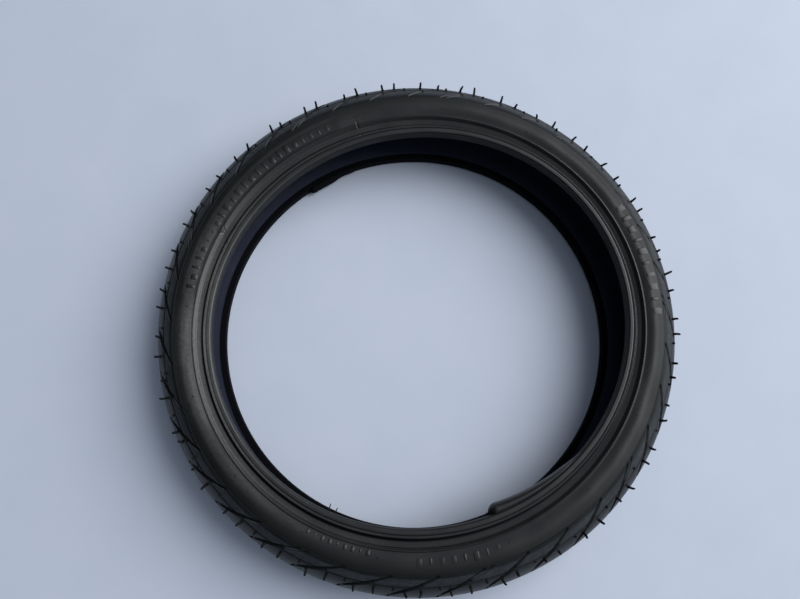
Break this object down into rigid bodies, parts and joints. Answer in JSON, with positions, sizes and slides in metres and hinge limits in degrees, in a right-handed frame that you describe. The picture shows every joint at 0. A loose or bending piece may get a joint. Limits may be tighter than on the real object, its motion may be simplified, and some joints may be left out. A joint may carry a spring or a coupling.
{
  "type": "bicycle tyre",
  "caption": "Small-wheel clincher bicycle tyre off its rim: treaded rubber ring with two wired beads and an open channel for the inner tube.",
  "frame": {"origin": "centre of the tyre, on its axis and on the plane half way between the two beads", "axes": "+Z is the tyre's axis and points out of the upper side as it lies flat; +X and +Y are radial"},
  "size_m": [0.4, 0.4, 0.0552],
  "materials": {
    "tread_rubber": "moulded black rubber, satin",
    "sidewall_rubber": "moulded black rubber, satin with a dusty bloom",
    "chafer_rubber": "rubbered strip, smooth",
    "filler_rubber": "hard black rubber",
    "casing_fabric": "rubbered nylon cord cloth",
    "bead_steel": "bronzed steel wire"
  },
  "bodies": {
    "root": {"tread_cap": "tread_rubber", "outer_ply": "casing_fabric", "inner_ply": "casing_fabric", "upper_tread_spews": "tread_rubber", "lower_tread_spews": "tread_rubber", "upper_sidewall": "sidewall_rubber", "lower_sidewall": "sidewall_rubber", "upper_sidewall_pips": "sidewall_rubber", "lower_sidewall_pips": "sidewall_rubber", "upper_chafer": "chafer_rubber", "lower_chafer": "chafer_rubber", "upper_bead_wires": "bead_steel", "lower_bead_wires": "bead_steel", "upper_bead_filler": "filler_rubber", "lower_bead_filler": "filler_rubber", "upper_bead_lap": "chafer_rubber", "lower_bead_lap": "chafer_rubber", "upper_bead_hairs": "chafer_rubber", "upper_sidewall_marks": "sidewall_rubber"}
  },
  "joints": []
}
